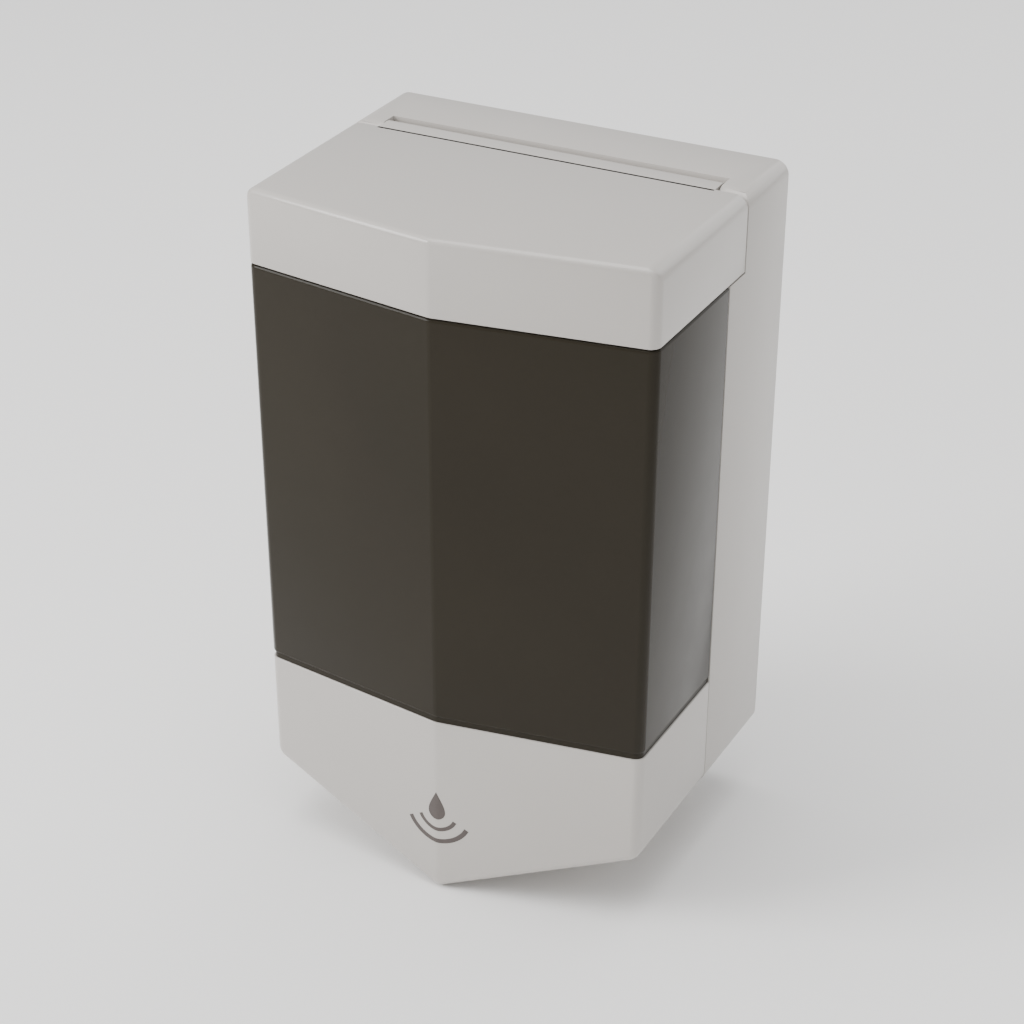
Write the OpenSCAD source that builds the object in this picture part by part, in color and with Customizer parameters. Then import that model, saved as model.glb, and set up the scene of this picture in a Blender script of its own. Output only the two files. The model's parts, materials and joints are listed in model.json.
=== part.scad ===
// Wall mounted automatic soap dispenser.
// The origin is the centre of the wall bracket's back face. The wall is the plane Y = 0,
// the dispenser stands out along -Y, +X is to the right as seen from the front, +Z is up.
// "Depth" is the distance out from the wall.

/* [Case] */
// Width across the top
body_w = 120; // [110:1:150]
// Height from the tip to the top
body_h = 200; // [190:1:250]
// Depth from the wall to the front side edges
edge_d = 83; // [80:1:110]
// How far the centre ridge stands ahead of the side edges
ridge = 9; // [0:0.5:14]
// Width lost from the top down to the shoulders
taper = 3.5; // [0:0.5:6]
// Height of the shoulders above the tip
shoulder_h = 23; // [16:1:28]
// Height of the window's lower edge above the tip
sill_h = 58; // [56:1:66]
// Height of the lid band
lid_h = 22; // [20:1:28]
// Depth of the seam between the rear housing and the front
seam_d = 38; // [32:1:46]
// Wall thickness of the case
wall = 2.2; // [1.8:0.1:3]
// Corner radius at the top
top_r = 4; // [3:0.5:6]
// Corner radius at the shoulders
shoulder_r = 4.5; // [3:0.5:6]
// Corner radius at the tip
tip_r = 2; // [1:0.25:4]
// Height of the shadow groove under the window
groove_h = 1.6; // [1:0.1:4]
// Depth of the shadow groove
groove_t = 0.8; // [0.4:0.1:1.2]
// Thickness of the window's lip that lines the groove
lip_t = 0.35; // [0.2:0.05:0.4]

/* [Wall bracket] */
// Height of the bracket's centre above the tip
bracket_h = 155; // [155:1:175]
// Bracket plate width
bracket_w = 76; // [70:1:96]
// Bracket plate height
bracket_l = 60; // [54:1:60]
// Bracket plate thickness
bracket_t = 2.4; // [2:0.1:3]
// Screw hole spacing across
hole_sx = 60; // [54:1:62]
// Screw hole spacing up
hole_sz = 44; // [40:1:46]
// Screw hole radius
hole_r = 2.4; // [2:0.1:2.8]
// Hook stud spacing across
stud_sx = 36; // [30:1:40]
// Hook stud spacing up
stud_sz = 28; // [26:1:34]
// Hook stud neck radius
stud_r = 2.5; // [2:0.1:3]
// Hook stud head radius
stud_head_r = 4.5; // [4:0.1:5]
// Lift needed to free the hooks
lift = 12; // [10:0.5:12]
// Depth of the recess that hides the bracket
recess = 4; // [3.6:0.1:5]
// Gap between the case and the wall
wall_gap = 1; // [0.5:0.1:2]

/* [Lid] */
// Radius of the lid's rolled hinge edge
barrel_r = 4; // [3.6:0.1:4.5]
// Lid hinge pin radius
lid_pin_r = 1.5; // [1.2:0.1:2]
// Depth of the lid hinge
hinge_d = 24; // [22:1:26]
// Gap round the lid
lid_gap = 0.4; // [0.3:0.05:0.6]
// Width of each housing ear
ear_w = 7; // [5:0.5:9]

/* [Tank] */
// Tank wall
tank_wall = 2; // [1.5:0.1:2.5]
// Tank floor
tank_floor = 2.5; // [2:0.1:3]
// Gap between the tank and the case
tank_gap = 1.2; // [0.8:0.1:2]
// How far the tank's rim stands above the window
rim_h = 10; // [6:0.5:10]
// Thickness of the lid seal
seal_t = 1.8; // [1.2:0.1:2.2]
// Corner radius of the tank
tank_r = 5; // [3:0.5:8]

/* [Batteries] */
// Cell radius
cell_r = 7.25; // [7.25:0.05:8.7]
// Cell length over the nub
cell_l = 50.5; // [49:0.5:52]
// Gap between two cells
cell_gap = 0.5; // [0.5:0.1:1.5]
// Battery box wall
box_wall = 1.5; // [1.2:0.1:2]
// Length of a contact spring
spring_l = 3.2; // [2.8:0.1:3.6]
// Battery door hinge barrel radius
door_barrel_r = 2; // [1.8:0.1:2.2]
// Battery door hinge pin radius
door_pin_r = 1.2; // [1:0.1:1.4]
// Gap round the battery door
door_gap = 0.3; // [0.2:0.05:0.5]

/* [Pump] */
// Pump centre left of the middle
pump_x = -14; // [-16:0.5:-13]
// Height of the pump frame's lower edge above the tip
frame_h = 19; // [19:0.5:21]
// Pump tube outer radius
tube_r = 2.3; // [2:0.02:2.8]
// Pump tube bore radius
tube_bore = 1.3; // [1:0.1:1.5]
// Roller radius
roller_r = 3; // [2.6:0.1:3.2]
// Radius of the roller circle
roller_circle = 7.5; // [7:0.1:8]
// Number of rollers
rollers = 3; // [2:1:3]
// Depth of the tube's plane
tube_d = 66.8; // [66:0.1:68]
// Pump wall thickness
pump_wall = 2; // [1.6:0.1:2.4]
// Nozzle outer radius
nozzle_r = 4.5; // [4:0.1:5]

/* [Gears] */
// Gear module
gear_m = 0.7; // [0.6:0.05:0.7]
// Teeth of the large gears
big_teeth = 36; // [30:2:36]
// Teeth of the small gears
small_teeth = 12; // [12:2:14]
// Width of the gear faces
gear_w = 4; // [3:0.5:4]
// Motor radius
motor_r = 10; // [8:0.5:11]
// Motor length
motor_l = 25; // [20:1:26]

/* [Fits] */
// Radial clearance of a shaft that turns
run_fit = 0.05; // [0.02:0.01:0.1]
// Clearance between pieces that only sit together
seat = 0.2; // [0.1:0.05:0.4]
// Clearance of a tube that rollers pass
tube_clear = 0.3; // [0.3:0.05:0.5]

/* [Hidden] */
$fn = 64;
eps = 0.01;

// heights
tip_z = -bracket_h;
shoulder_z = tip_z + shoulder_h;
sill_z = tip_z + sill_h;
top_z = tip_z + body_h;
lid_z = top_z - lid_h;
inner_top_z = top_z - wall;

// depths
front_d = edge_d + ridge;
back_d = wall_gap + recess;
inside_d = back_d + wall;

// half widths of the tapering sides
half_top = body_w / 2;
half_shoulder = half_top - taper / 2;
side_lean = (half_top - half_shoulder) / (top_z - shoulder_z);
half_sill = half_shoulder + side_lean * (sill_z - shoulder_z);

// deck that carries the tank
deck_t = 2.5;
deck_z = sill_z;
deck_under = deck_z - deck_t;
deck_half = half_sill - wall - seat - side_lean * deck_t;

// lid hinge
hinge_z = top_z - barrel_r;
ear_x = half_top - wall - ear_w;
ear_front_d = hinge_d + barrel_r;
skirt_z = lid_z + lid_gap;

// tank
tank_half = half_sill - wall - tank_gap;
tank_rim_z = lid_z + rim_h;

// batteries
cells = 4;
cell_pitch = 2 * cell_r + cell_gap;
box_half = cells * cell_pitch / 2 + box_wall;
cell_d = inside_d + cell_r + 0.85;
box_d = cell_d + cell_r + seat + box_wall + 0.3;
plate_t = 0.4;
bay_l = cell_l + spring_l + 2 * plate_t;
door_z = deck_z + 1;
door_axis_z = door_z + door_barrel_r;
door_axis_d = back_d + door_barrel_r;
box_z = door_axis_z + door_barrel_r + 1;
box_top = box_z + bay_l + 2 * box_wall;
bay_z = box_z + box_wall;
door_half = box_half - box_wall;
door_top = box_top - box_wall + 1;
tank_d = box_d + 0.8;

// pocket under the tip line that holds the nozzle and the sensor window
pocket_z = tip_z + 9;
pocket_half = 9.5;
pocket_in_z = pocket_z + wall;
sensor_d = tube_d - 16.5;
pocket_d0 = sensor_d + 1.2;
pocket_d1 = tube_d - 0.3;

// pump
reach = roller_circle + roller_r;
tube_circle = reach + tube_clear + tube_r;
track_r = tube_circle + tube_r + 0.1;
pump_r = track_r + pump_wall;
pump_right = pump_x + 11;
frame_low = tip_z + frame_h;
pump_z = frame_low + pump_r - 0.5;
board_z = frame_low - 1.5;
outlet_x = pump_x + 17;
top_bend = 6;
low_bend = 7;
rotor_shaft_r = 2;
rotor_disc_r = tube_circle - tube_r - 0.8;
disc_t = 1.5;
roller_l = 4.5;
roller_d = tube_d - roller_l / 2;
roller_pin_r = 1.2;
disc_d = roller_d - 0.3 - disc_t;
pump_back_d = disc_d - 0.3 - pump_wall;
pump_front_d = tube_d + tube_r + 1.4;

// gears
gear_step = gear_m * (big_teeth + small_teeth) / 2;
idler_x = pump_x + gear_step;
motor_x = idler_x + gear_step;
layer_a = pump_back_d - 0.5 - gear_w;
layer_b = layer_a - 1 - gear_w;
gear_plate_t = 3;
gear_plate_d = layer_b - 1.5 - gear_plate_t;
idler_r = 1.5;
shaft_r = 1;
pillar_r = 3;
screw_r = 1.2;
pillar_off = (track_r + pillar_r + 1.3) / sqrt(2);
frame_x0 = pump_x - pump_r;
frame_x1 = motor_x + motor_r + 1.5;
pump_x1 = idler_x + 17;
pillar_at = [
    for (x = [pump_x - pillar_off, idler_x + 13.2], z = [-pillar_off, pillar_off]) [x, pump_z + z]
];

// housing screws
case_screw_at = [for (s = [-1, 1]) [s * 44, deck_under - 6]];
case_screw_r = 1.5;
boss_r = 4.5;

// circuit board
board_t = 1.6;
board_front_d = inside_d + 8.6;

// switch
switch_x = 32;
switch_z = tip_z + 34;
switch_travel = 3;

// Corner of a polygon turned into an arc of radius r.
function unit(v) = v / norm(v);
function corner(a, b, c, r, n = 8) =
    let (u = unit(a - b), v = unit(c - b), half = acos(u * v) / 2,
         centre = b + unit(u + v) * r / sin(half),
         p = b + u * r / tan(half) - centre,
         turn = (u.x * v.y - u.y * v.x > 0 ? -1 : 1) * (180 - 2 * half))
    [for (i = [0 : n]) let (t = turn * i / n)
        centre + [p.x * cos(t) - p.y * sin(t), p.x * sin(t) + p.y * cos(t)]];
function rounded(points, radii) =
    let (n = len(points))
    [for (i = [0 : n - 1])
        each corner(points[(i + n - 1) % n], points[i], points[(i + 1) % n], radii[i])];

// Extrudes a drawing in X and Z between two depths from the wall.
module deep(d0, d1) {
    translate([0, -d0, 0]) rotate([90, 0, 0]) linear_extrude(d1 - d0) children();
}
// Extrudes a drawing in X and Y between two heights.
module level(z0, z1) {
    translate([0, 0, z0]) linear_extrude(z1 - z0) children();
}
// Block from its limits in X, depth and height.
module block(x0, x1, d0, d1, z0, z1) {
    translate([x0, -d1, z0]) cube([x1 - x0, d1 - d0, z1 - z0]);
}
// Round bar along the depth.
module rod(x, z, r, d0, d1) {
    deep(d0, d1) translate([x, z]) circle(r);
}
// Round bar upright at a depth.
module post(x, d, r, z0, z1) {
    translate([x, -d, z0]) cylinder(r = r, h = z1 - z0);
}
// Round bar across the width.
module bar(x0, x1, d, z, r) {
    translate([x0, -d, z]) rotate([0, 90, 0]) cylinder(r = r, h = x1 - x0);
}

// Outline from the front, drawn in X and Z.
module outline(inset = 0) {
    points = [[0, tip_z], [half_shoulder, shoulder_z], [half_top, top_z],
              [-half_top, top_z], [-half_shoulder, shoulder_z]];
    offset(delta = -inset)
        polygon(rounded(points, [tip_r, shoulder_r, top_r, top_r, shoulder_r]));
}
// Outline from above, with room at the sides and back, drawn in X and Y.
module plan(inset = 0) {
    reach_x = half_top + 20;
    offset(delta = -inset)
        polygon([[0, -front_d], [reach_x, -front_d + ridge * reach_x / half_top],
                 [reach_x, 20], [-reach_x, 20],
                 [-reach_x, -front_d + ridge * reach_x / half_top]]);
}
// Solid case shape, moved in by the inset all round, between two depths and heights.
module case_shape(inset, d0, d1, z0, z1) {
    intersection() {
        deep(d0, d1) outline(inset);
        level(z0, z1) plan(inset);
    }
}
module case_shell(d0, d1, z0, z1) {
    difference() {
        case_shape(0, d0, d1, z0, z1);
        case_shape(wall, d0 - 1, d1 + 1, z0 - 1, z1 + 1);
    }
}
// Round-ended slot outline under the tip, drawn in X and Y.
module pocket(r) {
    hull() {
        for (d = [pocket_d0, pocket_d1]) translate([0, -d]) circle(r);
    }
}
// Tank outline from above, moved in by the inset.
module tank_plan(inset = 0) {
    lean = ridge * tank_half / half_top;
    front = front_d - wall - tank_gap;
    points = [[0, -front], [tank_half, lean - front], [tank_half, -tank_d],
              [-tank_half, -tank_d], [-tank_half, lean - front]];
    offset(delta = -inset)
        polygon(rounded(points, [tank_r, tank_r, tank_r, tank_r, tank_r]));
}

// ---- wall bracket ----

module stud_places() {
    for (x = [-1, 1], z = [-1, 1]) translate([x * stud_sx / 2, 0, z * stud_sz / 2]) children();
}
module wall_bracket() {
    color("gainsboro") {
        difference() {
            deep(0, bracket_t) polygon(rounded(
                [[-bracket_w / 2, -bracket_l / 2], [bracket_w / 2, -bracket_l / 2],
                 [bracket_w / 2, bracket_l / 2], [-bracket_w / 2, bracket_l / 2]], [5, 5, 5, 5]));
            for (x = [-1, 1], z = [-1, 1])
                rod(x * hole_sx / 2, z * hole_sz / 2, hole_r, -1, bracket_t + 1);
            deep(-1, bracket_t + 1) polygon(rounded(
                [[-7, -18], [7, -18], [7, 18], [-7, 18]], [3, 3, 3, 3]));
        }
        stud_places() {
            rod(0, 0, stud_r, bracket_t, inside_d + 0.5);
            rod(0, 0, stud_head_r, inside_d + 0.4, inside_d + 2.2);
        }
    }
}

// ---- case ----

module keyhole() {
    slot_r = stud_r + 0.3;
    deep(back_d - 1, inside_d + 1) {
        hull() {
            circle(slot_r);
            translate([0, -lift]) circle(slot_r);
        }
        translate([0, -lift]) circle(stud_head_r + 0.5);
    }
}
module rear_housing() {
    color("whitesmoke") difference() {
        union() {
            case_shell(wall_gap, seam_d, tip_z - 1, lid_z);
            case_shell(wall_gap, hinge_d - barrel_r - lid_gap, lid_z - eps, top_z + 1);
            case_shape(0, back_d, inside_d, tip_z - 1, top_z + 1);
            for (s = [-1, 1]) {
                hinge_side(s);
                door_ear(s);
            }
            for (p = case_screw_at) rod(p.x, p.y, boss_r, back_d, inside_d + 6);
            switch_rim();
        }
        stud_places() keyhole();
        block(-door_half, door_half, 0, inside_d + 1, door_z - door_gap, door_top);
        bar(-ear_x - ear_w + 1, ear_x + ear_w - 1, hinge_d, hinge_z, lid_pin_r + run_fit);
        bar(-door_half - 3, door_half + 3, door_axis_d, door_axis_z, door_pin_r + run_fit);
        for (p = case_screw_at) {
            rod(p.x, p.y, 3.2, 0, inside_d + 3);
            rod(p.x, p.y, case_screw_r + 0.1, 0, inside_d + 7);
        }
        block(switch_x - 5, switch_x + 5, 0, inside_d + 1, switch_z - 1.6, switch_z + 1.6);
    }
}
// Side wall and lug at one end of the lid hinge, rounded about the pin so that the lid swings past.
module hinge_side(s) {
    x0 = s > 0 ? ear_x : -half_top - 1;
    x1 = s > 0 ? half_top + 1 : -ear_x;
    intersection() {
        union() {
            case_shell(wall_gap, ear_front_d + 1, lid_z - eps, top_z + 1);
            case_shape(0, wall_gap, ear_front_d, hinge_z - barrel_r, top_z + 1);
        }
        union() {
            block(x0, x1, wall_gap, hinge_d, lid_z - eps, top_z + 1);
            block(s > 0 ? half_top - wall - 1 : x0, s > 0 ? x1 : wall + 1 - half_top,
                  wall_gap, ear_front_d, lid_z - eps, hinge_z);
            bar(x0, x1, hinge_d, hinge_z, barrel_r);
        }
    }
}
module door_ear(s) {
    block(s > 0 ? door_half : -door_half - 4, s > 0 ? door_half + 4 : -door_half,
          back_d, door_axis_d + door_barrel_r, door_axis_z - 3, door_axis_z + 3);
}
module switch_rim() {
    difference() {
        block(switch_x - 7, switch_x + 7, inside_d - 0.5, inside_d + 1.2,
              switch_z - 5, switch_z + 5);
        block(switch_x - 6.2, switch_x + 6.2, inside_d, inside_d + 2,
              switch_z - 4.2, switch_z + 4.2);
    }
}
module chin_cover() {
    color("whitesmoke") difference() {
        union() {
            case_shell(seam_d, front_d + 1, tip_z - 1, sill_z);
            intersection() {
                case_shape(0, seam_d, front_d + 1, tip_z - 1, pocket_in_z);
                level(tip_z - 1, pocket_in_z) pocket(pocket_half + wall);
            }
        }
        level(tip_z - 2, pocket_z) pocket(pocket_half);
        post(0, tube_d, nozzle_r + 0.1, tip_z, pocket_in_z + 1);
        block(-7.6, 7.6, sensor_d - 4.1, sensor_d + 4.1, tip_z, pocket_in_z + 1);
        difference() {
            level(sill_z - groove_h, sill_z + 1) plan(-5);
            case_shape(groove_t, 0, front_d, sill_z - 2 * groove_h, sill_z + 2);
        }
    }
}
module window_panel() {
    color([0.2, 0.18, 0.15, 0.85]) {
        case_shell(seam_d, front_d + 1, sill_z, lid_z);
        difference() {
            case_shape(groove_t - lip_t, seam_d, front_d + 1, sill_z - groove_h, sill_z + wall);
            case_shape(groove_t, seam_d - 1, front_d + 2, sill_z - groove_h - 1, sill_z + wall + 1);
        }
    }
}
module chassis() {
    under = wall + seat;
    color("lightgray") difference() {
        union() {
            intersection() {
                level(deck_under, deck_z) plan(under);
                block(-deck_half, deck_half, inside_d, front_d, deck_under, deck_z);
            }
            for (p = case_screw_at) {
                rod(p.x, p.y, boss_r - 0.5, inside_d + 6, inside_d + 20);
                block(p.x - 1.5, p.x + 1.5, inside_d + 6, inside_d + 20, p.y, deck_under + 1);
            }
        }
        post(outlet_x, tube_d, 5.4, deck_under - 1, deck_z + 1);
        block(-30, -20, 12, 20, deck_under - 1, deck_z + 1);
        for (p = case_screw_at) rod(p.x, p.y, case_screw_r, inside_d + 5, inside_d + 19);
    }
}
module housing_screws() {
    color("silver") for (p = case_screw_at) {
        rod(p.x, p.y, case_screw_r, inside_d + 2.5, inside_d + 18);
        difference() {
            rod(p.x, p.y, 2.9, inside_d + 1, inside_d + 3);
            for (a = [0, 90]) deep(inside_d, inside_d + 2)
                translate([p.x, p.y]) rotate(a) square([3.4, 0.8], center = true);
        }
    }
}

// ---- lid ----

module top_lid() {
    plug_z = tank_rim_z + 0.2 + seal_t;
    color("whitesmoke") difference() {
        union() {
            case_shell(ear_front_d + lid_gap, front_d + 1, skirt_z, top_z + 1);
            intersection() {
                case_shell(hinge_d, ear_front_d + 1, hinge_z, top_z + 1);
                block(-ear_x + lid_gap, ear_x - lid_gap, hinge_d, ear_front_d + 1,
                      hinge_z, top_z + 1);
            }
            bar(-ear_x + lid_gap, ear_x - lid_gap, hinge_d, hinge_z, barrel_r);
            difference() {
                level(plug_z, inner_top_z + eps) tank_plan(0.2);
                level(plug_z - 1, inner_top_z) tank_plan(tank_wall + 0.4);
                for (s = [-1, 1]) translate([s * (ear_x - lid_gap + ear_w), 0, 0])
                    block(-ear_w, ear_w, 0, ear_front_d + lid_gap, plug_z - 1, top_z + 1);
            }
        }
        bar(-ear_x, ear_x, hinge_d, hinge_z, lid_pin_r + run_fit);
    }
}
module lid_seal() {
    color("dimgray") difference() {
        level(tank_rim_z + 0.2, tank_rim_z + 0.2 + seal_t) tank_plan(0.2);
        level(tank_rim_z, tank_rim_z + seal_t + 1) tank_plan(tank_wall + 0.4);
    }
}
module lid_hinge_pin() {
    color("silver") bar(-ear_x - ear_w + 1.2, ear_x + ear_w - 1.2, hinge_d, hinge_z, lid_pin_r);
}

// ---- soap path ----

module soap_tank() {
    color([0.9, 0.92, 0.93, 0.6]) difference() {
        level(deck_z, tank_rim_z) tank_plan();
        level(deck_z + tank_floor, tank_rim_z + 1) tank_plan(tank_wall);
        post(outlet_x, tube_d, 4, deck_z - 1, deck_z + tank_floor + 1);
    }
}
module outlet_grommet() {
    color("dimgray") difference() {
        union() {
            post(outlet_x, tube_d, 4, deck_z, deck_z + tank_floor);
            post(outlet_x, tube_d, 5.2, deck_z - 1.4, deck_z);
            post(outlet_x, tube_d, 5.2, deck_z + tank_floor, deck_z + tank_floor + 1.2);
        }
        post(outlet_x, tube_d, tube_r, deck_z - 2, deck_z + tank_floor + 2);
    }
}
module outlet_strainer() {
    z = deck_z + tank_floor + 1.2;
    color("white") difference() {
        post(outlet_x, tube_d, 5.2, z, z + 5);
        post(outlet_x, tube_d, 4.2, z - 1, z + 4);
        for (a = [0 : 30 : 150]) translate([outlet_x, -tube_d, z + 2.3]) rotate([0, 0, a])
            cube([12, 0.9, 2.6], center = true);
    }
}
module tube_ring() {
    difference() {
        circle(tube_r);
        circle(tube_bore);
    }
}
// Bend of the tube in the X-Z plane about a centre, from one angle over a span.
module tube_bend(x, z, r, from, span) {
    translate([x, -tube_d, z]) rotate([90, 0, 0]) rotate([0, 0, from])
        rotate_extrude(angle = span) translate([r, 0]) tube_ring();
}
module tube_run_x(x0, x1, z) {
    translate([x0, -tube_d, z]) rotate([0, 90, 0]) linear_extrude(x1 - x0) tube_ring();
}
module pump_tube() {
    top = pump_z + tube_circle;
    low = pump_z - tube_circle;
    color("ghostwhite") {
        tube_bend(pump_x, pump_z, tube_circle, 90, 180);
        tube_run_x(pump_x, outlet_x - top_bend, top);
        tube_bend(outlet_x - top_bend, top + top_bend, top_bend, 270, 90);
        level(top + top_bend, deck_z + tank_floor + 1)
            translate([outlet_x, -tube_d]) tube_ring();
        tube_run_x(pump_x, -low_bend, low);
        tube_bend(-low_bend, low - low_bend, low_bend, 0, 90);
        level(pocket_in_z + 2, low - low_bend) translate([0, -tube_d]) tube_ring();
    }
}
module nozzle() {
    color("white") difference() {
        union() {
            post(0, tube_d, nozzle_r, tip_z + 4.5, pocket_in_z);
            post(0, tube_d, nozzle_r + 1.5, pocket_in_z, pocket_in_z + 1.5);
            post(0, tube_d, tube_r + 1.3, pocket_in_z, pocket_in_z + 4.6);
        }
        post(0, tube_d, tube_r, pocket_in_z + 2, pocket_in_z + 6);
        post(0, tube_d, 1.5, tip_z, pocket_in_z + 6);
        post(0, tube_d, 3, tip_z, tip_z + 6.5);
    }
}
module nozzle_valve() {
    color("lightgray") difference() {
        post(0, tube_d, 3, tip_z + 4.8, tip_z + 6.5);
        for (a = [0, 90]) translate([0, -tube_d, tip_z + 5.6]) rotate([0, 0, a])
            cube([3.2, 0.3, 4], center = true);
    }
}

// ---- sensor ----

module sensor_lens() {
    color([0.15, 0.1, 0.12]) {
        block(-7.5, 7.5, sensor_d - 4, sensor_d + 4, pocket_z, pocket_in_z);
        block(-8.8, 8.8, sensor_d - 5, sensor_d + 5, pocket_in_z, pocket_in_z + 0.8);
    }
}
module sensor_pair() {
    color("indigo") for (s = [-1, 1]) {
        post(s * 5, sensor_d, 2.3, pocket_in_z + 3.2, board_z);
        translate([s * 5, -sensor_d, pocket_in_z + 3.2]) sphere(2.3);
    }
}
module status_led() {
    color("lightgreen") {
        post(0, sensor_d, 1.5, pocket_in_z + 3, board_z);
        translate([0, -sensor_d, pocket_in_z + 3]) sphere(1.5);
    }
}
module sensor_board() {
    color("darkgreen") block(-11, 11, sensor_d - 5, sensor_d + 5, board_z, board_z + 1);
}

// ---- batteries ----

function cell_x(i) = (i - (cells - 1) / 2) * cell_pitch;
function nub_up(i) = i % 2 == 0;

module battery_box() {
    color("lightgray") difference() {
        block(-box_half, box_half, inside_d, box_d, box_z, box_top);
        for (i = [0 : cells - 1]) {
            post(cell_x(i), cell_d, cell_r + seat, bay_z, bay_z + bay_l);
            block(cell_x(i) - cell_r - seat, cell_x(i) + cell_r + seat, 0, cell_d,
                  bay_z, bay_z + bay_l);
        }
    }
}
module battery_cells() {
    nub = 1;
    color("seagreen") for (i = [0 : cells - 1]) {
        low = bay_z + plate_t + (nub_up(i) ? spring_l : 0);
        post(cell_x(i), cell_d, cell_r, low + (nub_up(i) ? 0 : nub),
             low + cell_l - (nub_up(i) ? nub : 0));
        post(cell_x(i), cell_d, 2.75, low, low + cell_l);
    }
}
module contact_springs() {
    wire = 0.4;
    turns = 5;
    step = (spring_l - 2 * wire) / (turns - 1);
    color("silver") for (i = [0 : cells - 1])
        translate([cell_x(i), -cell_d, nub_up(i) ? bay_z + plate_t : bay_z + bay_l - plate_t])
            rotate([nub_up(i) ? 0 : 180, 0, 0]) rotate_extrude()
                for (k = [0 : turns - 1])
                    translate([4.2 - k * 0.35, wire + k * step]) circle(wire, $fn = 24);
}
module contact_plates() {
    color("silver") for (i = [0 : cells - 1], z = [bay_z, bay_z + bay_l - plate_t])
        block(cell_x(i) - 5, cell_x(i) + 5, inside_d + 2, box_d - box_wall - 2.5, z, z + plate_t);
}
module battery_door() {
    x = door_half - door_gap;
    color("whitesmoke") {
        difference() {
            union() {
                block(-x, x, back_d, inside_d, door_axis_z, door_top - door_gap);
                bar(-x, x, door_axis_d, door_axis_z, door_barrel_r);
            }
            for (k = [0 : 3]) block(-8, 8, 0, back_d + 0.6, door_top - 8 + k * 1.6,
                                    door_top - 7.2 + k * 1.6);
        }
        bar(-x - 2.5, x + 2.5, door_axis_d, door_axis_z, door_pin_r);
    }
}

// ---- electronics ----

module circuit_board() {
    d = board_front_d - board_t;
    color("darkgreen") difference() {
        block(-30, 38, d, board_front_d, tip_z + 22, deck_under - 0.5);
        for (x = [-26, 34]) rod(x, tip_z + 26, 1.6, d - 1, board_front_d + 1);
    }
}
module board_chips() {
    d = board_front_d;
    color("black") {
        block(-8, 0, d, d + 1.6, tip_z + 34, tip_z + 42);
        block(-22, -17, d, d + 1.4, tip_z + 30, tip_z + 34);
        block(30, 35, d, d + 1.4, tip_z + 36, tip_z + 40);
        rod(-20, tip_z + 44, 3, d, d + 6);
    }
}
module switch_body() {
    color("dimgray") difference() {
        block(switch_x - 6, switch_x + 6, inside_d, inside_d + 5, switch_z - 4, switch_z + 4);
        block(switch_x - 5, switch_x + 5, inside_d - 1, inside_d + 2.4,
              switch_z - 2.5, switch_z + 2.5);
    }
}
module switch_slider() {
    x = switch_x - switch_travel / 2;
    color("black") {
        block(x - 3, x + 3, inside_d + 0.3, inside_d + 2.1, switch_z - 2.2, switch_z + 2.2);
        block(x - 2, x + 2, inside_d - 3.6, inside_d + 0.3, switch_z - 1.3, switch_z + 1.3);
    }
}
// Insulated lead: straight stretches with rounded corners through the points.
module lead(points, r) {
    for (i = [0 : len(points) - 2]) {
        v = points[i + 1] - points[i];
        translate(points[i]) rotate([0, acos(v.z / norm(v)), atan2(v.y, v.x)])
            cylinder(r = r, h = norm(v), $fn = 24);
    }
    for (i = [1 : len(points) - 2]) translate(points[i]) sphere(r * 1.05, $fn = 24);
}
module battery_leads() {
    color("firebrick") for (x = [-27, -24])
        lead([[x, -cell_d - 2, box_z], [x, -cell_d - 2, deck_z], [x, -board_front_d - 4, deck_under - 2],
              [x, -board_front_d - 4, deck_under - 8], [x, -board_front_d, deck_under - 8]], 0.6);
}
module motor_leads() {
    color("royalblue") for (x = [motor_x - 3, motor_x + 3])
        lead([[x, motor_l - gear_plate_d, pump_z], [x, motor_l - gear_plate_d + 1, pump_z],
              [x - 2, -board_front_d - 2.5, pump_z - 2],
              [x - 2, -board_front_d, pump_z - 2]], 0.6);
}

// ---- pump and gears ----

function involute(base, t) = [base * (cos(t) + t * PI / 180 * sin(t)),
                              base * (sin(t) - t * PI / 180 * cos(t))];
// Spur gear outline with 25 degree involute teeth; a tooth points along +X.
module gear_outline(teeth, backlash = 0.12) {
    pitch_r = gear_m * teeth / 2;
    base = pitch_r * cos(25);
    tip = pitch_r + 0.9 * gear_m;
    root = pitch_r - 1.25 * gear_m;
    start = max(base, root + 0.05);
    steps = 5;
    t0 = sqrt(pow(start / base, 2) - 1) * 180 / PI;
    t1 = sqrt(pow(tip / base, 2) - 1) * 180 / PI;
    tp = tan(25) * 180 / PI;
    at_pitch = involute(base, tp);
    half = 90 / teeth - backlash / pitch_r * 90 / PI + atan2(at_pitch.y, at_pitch.x);
    flank = [for (i = [0 : steps]) involute(base, t0 + (t1 - t0) * i / steps)];
    function turned(p, a) = [p.x * cos(a) - p.y * sin(a), p.x * sin(a) + p.y * cos(a)];
    root_a = 180 / teeth;
    points = [for (k = [0 : teeth - 1]) let (a = 360 * k / teeth) each [
        root * [cos(a - root_a), sin(a - root_a)],
        root * [cos(a - half), sin(a - half)],
        for (p = flank) turned(p, a - half),
        for (i = [steps : -1 : 0]) let (p = flank[i]) turned([p.x, -p.y], a + half),
        root * [cos(a + half), sin(a + half)]]];
    polygon(points);
}
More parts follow.
